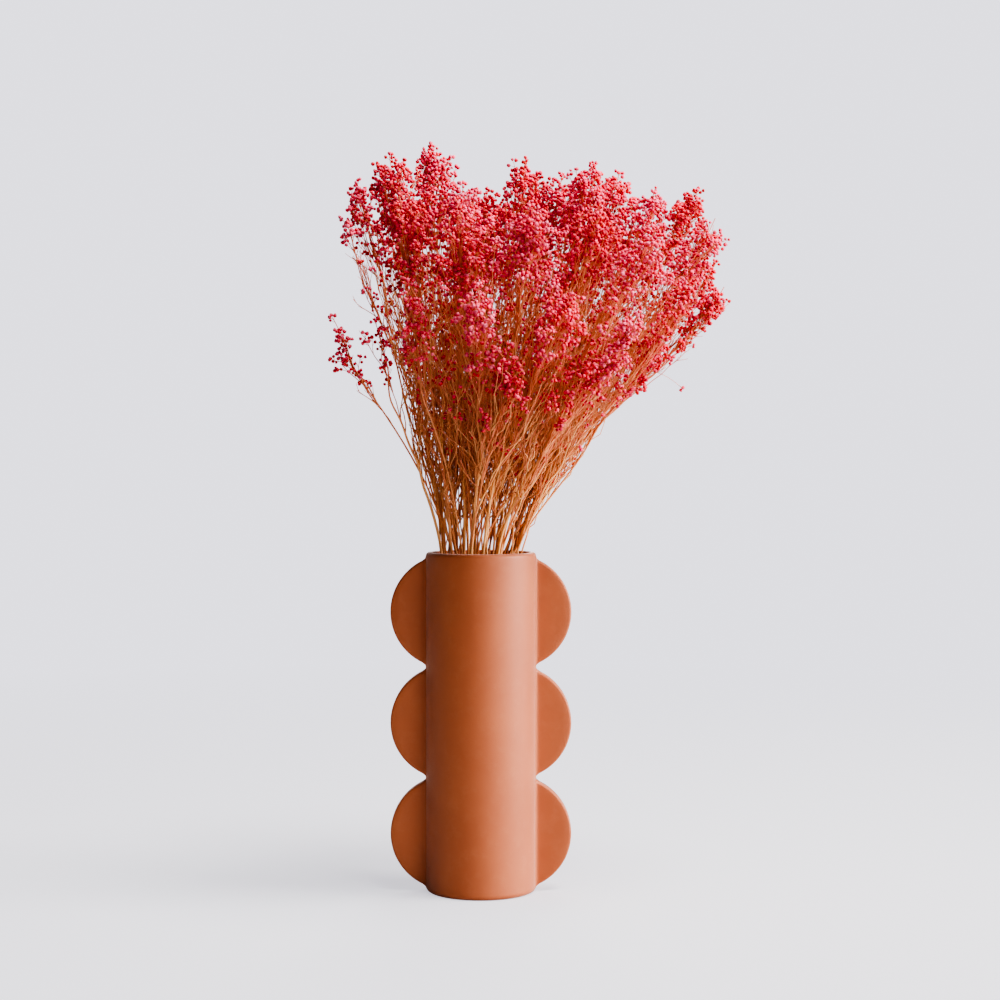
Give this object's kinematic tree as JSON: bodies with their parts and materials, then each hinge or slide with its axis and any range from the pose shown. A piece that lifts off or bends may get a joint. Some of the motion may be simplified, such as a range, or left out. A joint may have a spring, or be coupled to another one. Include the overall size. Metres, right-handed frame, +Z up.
{
  "type": "dried broom bloom in vase",
  "caption": "Tall terracotta cylinder vase with round fins down both sides, holding a spreading dried bunch of thin brown stems topped with pink heads of small bead-like buds.",
  "frame": {"origin": "centre of the vase's flat foot, on the surface it stands on", "axes": "+Z up along the vase; X across the fins, with +X to the right as seen from the front; +Y to the back"},
  "size_m": [0.2857, 0.2095, 0.5303],
  "materials": {
    "terracotta": "matte unglazed, fine even grain",
    "dried_stem": "dry matte twig, golden to reddish brown",
    "dried_buds": "dry matte coral pink buds"
  },
  "bodies": {
    "root": {"vase": "terracotta", "stem_01": "dried_stem", "stem_02": "dried_stem", "stem_03": "dried_stem", "stem_04": "dried_stem", "stem_05": "dried_stem", "stem_06": "dried_stem", "stem_07": "dried_stem", "stem_08": "dried_stem", "stem_09": "dried_stem", "stem_10": "dried_stem", "stem_11": "dried_stem", "stem_12": "dried_stem", "stem_13": "dried_stem", "stem_14": "dried_stem", "stem_15": "dried_stem", "stem_16": "dried_stem", "stem_17": "dried_stem", "stem_18": "dried_stem", "stem_19": "dried_stem", "head_01_a": "dried_buds", "head_01_b": "dried_buds", "head_02_a": "dried_buds", "head_02_b": "dried_buds", "head_03_a": "dried_buds", "head_03_b": "dried_buds", "head_04_a": "dried_buds", "head_04_b": "dried_buds", "head_05_a": "dried_buds", "head_05_b": "dried_buds", "head_06_a": "dried_buds", "head_06_b": "dried_buds", "head_07_a": "dried_buds", "head_07_b": "dried_buds", "head_08_a": "dried_buds", "head_08_b": "dried_buds", "head_09_a": "dried_buds", "head_09_b": "dried_buds", "head_10_a": "dried_buds", "head_10_b": "dried_buds", "head_11_a": "dried_buds", "head_11_b": "dried_buds", "head_12_a": "dried_buds", "head_12_b": "dried_buds", "head_13_a": "dried_buds", "head_13_b": "dried_buds", "head_14_a": "dried_buds", "head_14_b": "dried_buds", "head_15_a": "dried_buds", "head_15_b": "dried_buds", "head_16_a": "dried_buds", "head_16_b": "dried_buds", "head_17_a": "dried_buds", "head_17_b": "dried_buds", "head_18_a": "dried_buds", "head_18_b": "dried_buds", "head_19_a": "dried_buds", "head_19_b": "dried_buds"}
  },
  "joints": []
}
